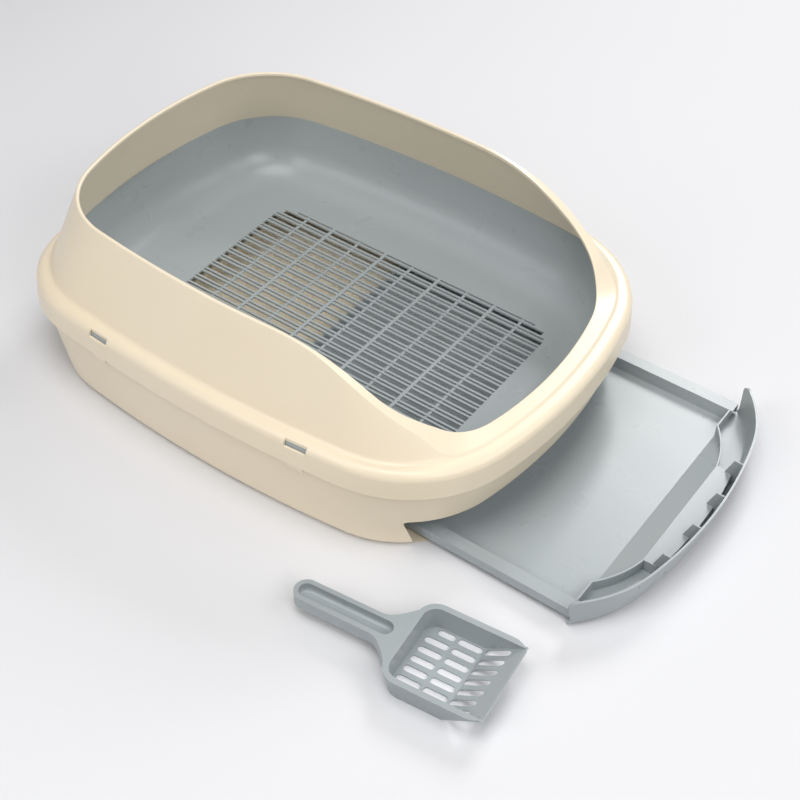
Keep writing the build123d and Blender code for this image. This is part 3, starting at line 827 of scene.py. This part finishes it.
def rampDeck():
    # the outline of ramp and ledge is filled, folded where the ramp ends, and the ledge's edge drawn down
    t = tray
    bm = bmesh.new()
    curve = sweptCurve()
    outline = curve + ledgeFront() + [Vector((p.x, -p.y)) for p in curve[::-1]]
    bm.faces.new([bm.verts.new((p.x, p.y, t["rail"])) for p in outline])
    bmesh.ops.remove_doubles(bm, verts=bm.verts, dist=0.001)
    cutLine(bm, list(bm.faces), (t["rampTop"], 0, 0), (1, 0, 0))
    free = [e for e in bm.edges if e.is_boundary and all(v.co.x > t["rampTop"] - 0.01 for v in e.verts)]
    for v in vertsOf(bmesh.ops.extrude_edge_only(bm, edges=free)["geom"]):
        v.co.z = t["bottom"]
    slope = (t["rail"] - t["floor"]) / (t["rampTop"] - t["rampFoot"])
    for v in bm.verts:
        if v.co.x < t["rampTop"] - 0.01:
            v.co.z = t["floor"] + slope * (v.co.x - t["rampFoot"])
    facing(bm, (-slope, 0, 1))
    return bm


def drawerPanel():
    # bowed outer face, row by row from its low edge
    t = tray
    bm = bmesh.new()
    levels = list(t["panelLevels"])
    for angle in t["panelTurns"]:
        levels.append(t["panelHigh"] - t["panelRound"] * (1 - math.sin(math.radians(angle))))
    last = None
    for z in levels:
        half = panelHalfAt(z)
        places = [half * (2 * i / t["panelColumns"] - 1) for i in range(t["panelColumns"] + 1)]
        points = [bm.verts.new((panelAt(y, z), y, z)) for y in places]
        edges = [bm.edges.new(pair) for pair in zip(points, points[1:])]
        if last:
            bmesh.ops.bridge_loops(bm, edges=last + edges)
        last = edges
    facing(bm, (1, 0, 0))
    return bm


def makeDrawerSheets():
    # each sheet gets its wall, levelled off at the drawer's bottom and at the panel's top
    bm = bmesh.new()
    for sheet in (trayFloor(), rampDeck(), drawerPanel()):
        sheet = thickened(sheet, tray["wall"])
        for v in sheet.verts:
            v.co.z = min(max(v.co.z, tray["bottom"]), tray["panelHigh"])
        mesh = bpy.data.meshes.new("sheet")
        sheet.to_mesh(mesh)
        sheet.free()
        bm.from_mesh(mesh)
        bpy.data.meshes.remove(mesh)
    bmesh.ops.translate(bm, vec=(tray["out"], 0, 0), verts=bm.verts)
    return bm


def makeDrawerRibs():
    # back wall, low walls beside the ramp, floor in front of them and gussets behind the panel
    t = tray
    half = t["wall"] / 2
    bm = bmesh.new()
    block(bm, (t["back"], -t["railHalf"], t["bottom"]), (t["back"] + t["wall"], t["railHalf"], t["rail"]))
    curve = sweptCurve()
    line = [Vector((t["rampFoot"], t["wallTop"] + 1)), *curve]
    for side in (-1, 1):
        offsets = []
        for reach in (-half, half):
            points = []
            for i, p in enumerate(line):
                way = (line[min(i + 1, len(line) - 1)] - line[max(i - 1, 0)]).normalized()
                points.append((p.x - way.y * reach, side * (p.y + way.x * reach)))
            offsets.append(points)
        flatPlate(bm, offsets[0] + offsets[1][::-1], t["bottom"], t["rail"])
    places = [t["panelHalf"] * i / t["rimSteps"] for i in range(t["rimSteps"] + 1)]
    rim = [Vector((panelAt(y, t["floor"]) - half, y)) for y in places]
    inner = curve + [p for p in ledgeFront() if p.y > -0.01]
    outline = rim + [Vector((t["rampFoot"], t["panelHalf"]))] + inner
    for side in (-1, 1):
        flatPlate(bm, [(p.x, side * p.y) for p in outline], t["bottom"], t["floor"])
    for y in t["gussets"]:
        # each runs from inside the panel to the ledge, and stops a little above the drawer's bottom
        outline = [(panelAt(y, z) - half, z) for z in t["gussetLevels"]]
        foot = panelAt(y, t["rail"]) - t["wall"]
        edge, ledge = foot - t["ledgeGap"] - 1, t["rail"] - 1
        outline += [(edge, t["gussetLevels"][-1]), (edge, ledge), (foot - t["gussetFoot"], ledge)]
        outline.append((outline[0][0] - t["gussetWide"], t["gussetLevels"][0]))
        sidePlate(bm, outline, y - t["gussetThick"] / 2, y + t["gussetThick"] / 2)
    bmesh.ops.recalc_face_normals(bm, faces=bm.faces)
    bmesh.ops.translate(bm, vec=(t["out"], 0, 0), verts=bm.verts)
    return bm


finishPiece(makeDrawerSheets(), "catchDrawer", "drawer_body", ["drawer"], grey, 0.0005, 22)
finishPiece(makeDrawerRibs(), "drawerRibs", "drawer_body", [], grey, 0.0004)
print("drawer ready")


# Scoop, made with its lip at x = 0 and then turned and put in its place
spoon = {"place": (374, -264), "turn": 6, "length": 206, "bowl": 96, "floorHalf": 42, "rimHalf": 43,
         "height": 26, "ramp": 38, "corner": 15, "cornerSteps": 8, "rim": 3.5, "wall": 2, "lipThick": 0.6,
         "floorLess": 1, "footCornerLess": 0.5, "over": 4,
         "handleHalf": 12, "handleDepth": 13, "neck": 26, "neckSplay": 0.9, "neckSteps": 12,
         "channelHalf": 7.5, "channelDepth": 9, "channelBack": -201.5, "channelFront": -108,
         "channelRound": 3.5, "slotWidth": 7, "slotLength": 23.5, "slotPitch": 11.8, "rows": 7,
         "columns": (-76.5, -50.5, -24.5), "rowLean": 0.45, "shortSlot": 17, "frontSlot": 24}


def stadium(bm, x, y, length, width, z0, z1):
    # plate with round ends
    half, radius = length / 2 - width / 2, width / 2
    points = []
    for end, start in ((half, -90), (-half, 90)):
        for step in range(13):
            turn = math.radians(start + 15 * step)
            points.append((x + end + radius * math.cos(turn), y + radius * math.sin(turn)))
    flatPlate(bm, points, z0, z1)


def roundedPlan(x0, x1, half, corner):
    # outline of a rectangle with round corners
    steps = spoon["cornerSteps"]
    points = []
    for x, y, start in ((x1 - corner, half - corner, 0), (x0 + corner, half - corner, 90),
                        (x0 + corner, corner - half, 180), (x1 - corner, corner - half, 270)):
        for step in range(steps + 1):
            turn = math.radians(start + 90 * step / steps)
            points.append((x + corner * math.cos(turn), y + corner * math.sin(turn)))
    return points


def spoonForm(inset, floorLevel, over, lip):
    # bowl form, drawn in by an inset, with its front cut to the ramp, which reaches a lip level at x = 0
    s = spoon
    bm = bmesh.new()
    corner = s["corner"] - inset
    low = roundedPlan(inset + s["floorLess"] - s["bowl"], s["bowl"], s["floorHalf"] - inset,
                      corner - s["footCornerLess"])
    high = roundedPlan(inset - s["bowl"], s["bowl"], s["rimHalf"] - inset, corner)
    share = (over - floorLevel) / (s["height"] - floorLevel)
    lofted(bm, [(*a, floorLevel) for a in low], [(*between(a, b, share), over) for a, b in zip(low, high)])
    bmesh.ops.bisect_plane(bm, geom=[*bm.verts, *bm.edges, *bm.faces], plane_co=(0, 0, lip),
                           plane_no=(lip - floorLevel, 0, -s["ramp"]), clear_outer=True)
    bmesh.ops.contextual_create(bm, geom=[e for e in bm.edges if e.is_boundary])
    return bm


def handlePlan():
    # outline of the handle: each side of the neck curves from the bowl's back wall to the grip
    s = spoon
    start = Vector((s["wall"] / 2 - s["bowl"], s["rimHalf"] - s["corner"] / 2))
    end = Vector((-s["bowl"] - s["rim"] - s["neck"], s["handleHalf"]))
    chord = (end - start).length
    leaving, arriving = Vector((-1, -s["neckSplay"])).normalized() * chord, Vector((-1, 0)) * chord
    side = []
    for step in range(s["neckSteps"] + 1):
        t = step / s["neckSteps"]
        side.append(start * ((1 + 2 * t) * (1 - t) ** 2) + leaving * (t * (1 - t) ** 2)
                    + end * (t * t * (3 - 2 * t)) - arriving * (t * t * (1 - t)))
    neck = list(side)
    size = s["handleHalf"]
    for angle in range(90, 271, 15):
        turn = math.radians(angle)
        side.append(Vector((size - s["length"] + size * math.cos(turn), size * math.sin(turn))))
    return [(p.x, p.y) for p in side] + [(p.x, -p.y) for p in neck[::-1]]


def makeSpoon():
    s = spoon
    high, over = s["height"], s["height"] + s["over"]
    bm = spoonForm(0, 0, high, high)
    corner, half = s["corner"] + s["rim"], s["rimHalf"] + s["rim"]
    rimStart = math.sqrt(corner ** 2 - s["corner"] ** 2) + half - corner
    rim = [p for p in roundedPlan(-s["bowl"] - s["rim"], s["rim"], half, corner) if p[0] < 0]
    flatPlate(bm, [(0, rimStart)] + rim + [(0, -rimStart)], high - s["wall"], high)
    flatPlate(bm, handlePlan(), high - s["handleDepth"], high)
    bmesh.ops.recalc_face_normals(bm, faces=bm.faces)

    # hollow of the bowl and channel of the handle
    cutter = spoonForm(s["wall"], s["wall"], over, high + s["lipThick"])
    channelFloor = high - s["channelDepth"]
    stadium(cutter, (s["channelBack"] + s["channelFront"]) / 2, 0, s["channelFront"] - s["channelBack"],
            2 * s["channelHalf"], channelFloor, over)
    low = [e for e in cutter.edges if all(abs(v.co.z - channelFloor) < 0.01 for v in e.verts)]
    bmesh.ops.bevel(cutter, geom=low, offset=s["channelRound"], segments=4, profile=0.5, affect="EDGES",
                    material=-1)
    bmesh.ops.recalc_face_normals(cutter, faces=cutter.faces)
    bm = cutAway(bm, cutter, True)

    # slots; the one at the back of the far row is shorter and those at the front are longer
    cutter = bmesh.new()
    for row in range(s["rows"]):
        y = (row - (s["rows"] - 1) / 2) * s["slotPitch"]
        for column, x in enumerate(s["columns"]):
            x += (row - s["rows"] + 1) * s["rowLean"]
            size = s["frontSlot"] if column == len(s["columns"]) - 1 else s["slotLength"]
            if column == 0 and row == s["rows"] - 1:
                x += (size - s["shortSlot"]) / 2
                size = s["shortSlot"]
            stadium(cutter, x, y, size, s["slotWidth"], -1, high + 1)
    bmesh.ops.recalc_face_normals(cutter, faces=cutter.faces)
    bm = cutAway(bm, cutter, True)
    turned = Matrix.Rotation(math.radians(s["turn"]), 3, "Z")
    bmesh.ops.rotate(bm, cent=(0, 0, 0), matrix=turned, verts=bm.verts)
    bmesh.ops.translate(bm, vec=(*s["place"], 0), verts=bm.verts)
    return bm


finishPiece(makeSpoon(), "litterScoop", "loose_scoop", ["scoop"], grey, 0.0005)
print("scoop ready")


# Floor, lamps and camera, in metres; a lamp is given as place, size and power
studio = {"floorColour": (0.79, 0.79, 0.81, 1), "floorRoughness": 0.9, "floorSpecular": 0.1, "floorHalf": 30,
          "worldColour": (1, 1, 1, 1), "worldStrength": 0.1, "aim": (0.1, 0, 0.05),
          "lamps": [((0.1, -0.45, 2.15), 1.2, 20), ((1.7, 0.5, 1.45), 1, 8), ((-0.1, 1.7, 1.45), 0.8, 20),
                    ((1.55, -0.8, 1.45), 1, 13), ((-0.5, -1.6, 1.45), 1, 11)]}
floorForm = bmesh.new()
bmesh.ops.create_grid(floorForm, x_segments=2, y_segments=2, size=studio["floorHalf"])
floorMesh = bpy.data.meshes.new("floor")
floorForm.to_mesh(floorMesh)
floorForm.free()
floor = bpy.data.objects.new("floor", floorMesh)
bpy.context.scene.collection.objects.link(floor)
paper = bpy.data.materials.new("floorPaper")
paper.use_nodes = True
paperShader = paper.node_tree.nodes["Principled BSDF"]
paperShader.inputs["Base Color"].default_value = studio["floorColour"]
paperShader.inputs["Roughness"].default_value = studio["floorRoughness"]
paperShader.inputs["Specular IOR Level"].default_value = studio["floorSpecular"]
floorMesh.materials.append(paper)

world = bpy.data.worlds.new("studio")
world.use_nodes = True
background = world.node_tree.nodes["Background"]
background.inputs["Color"].default_value = studio["worldColour"]
background.inputs["Strength"].default_value = studio["worldStrength"]
bpy.context.scene.world = world
for place, size, power in studio["lamps"]:
    light = bpy.data.lights.new("softbox", "AREA")
    light.size = size
    light.energy = power
    lamp = bpy.data.objects.new("softbox", light)
    lamp.location = place
    lamp.rotation_mode = "QUATERNION"
    lamp.rotation_quaternion = (Vector(studio["aim"]) - Vector(place)).to_track_quat("-Z", "Y")
    bpy.context.scene.collection.objects.link(lamp)

# the camera turns about a target on the floor
view = {"azimuth": 34.385, "elevation": 44.634, "roll": 1.738, "distance": 1.5436, "lens": 69.156,
        "sensor": 36, "farEnd": 100, "target": (0.09405, -0.02278, 0)}
turn, tilt, roll = (math.radians(view[k]) for k in ("azimuth", "elevation", "roll"))
back = Vector((math.sin(turn) * math.cos(tilt), -math.cos(turn) * math.cos(tilt), math.sin(tilt)))
right = Vector((math.cos(turn), math.sin(turn), 0))
up = back.cross(right)
camera = bpy.data.objects.new("camera", bpy.data.cameras.new("camera"))
camera.data.lens = view["lens"]
camera.data.sensor_width = view["sensor"]
camera.data.clip_end = view["farEnd"]
axes = (math.cos(roll) * right + math.sin(roll) * up, math.cos(roll) * up - math.sin(roll) * right, back)
place = Matrix.Translation(Vector(view["target"]) + back * view["distance"])
camera.matrix_world = place @ Matrix(axes).transposed().to_4x4()
bpy.context.scene.collection.objects.link(camera)
bpy.context.scene.camera = camera
bpy.context.scene.view_settings.view_transform = "Standard"
print("studio ready")
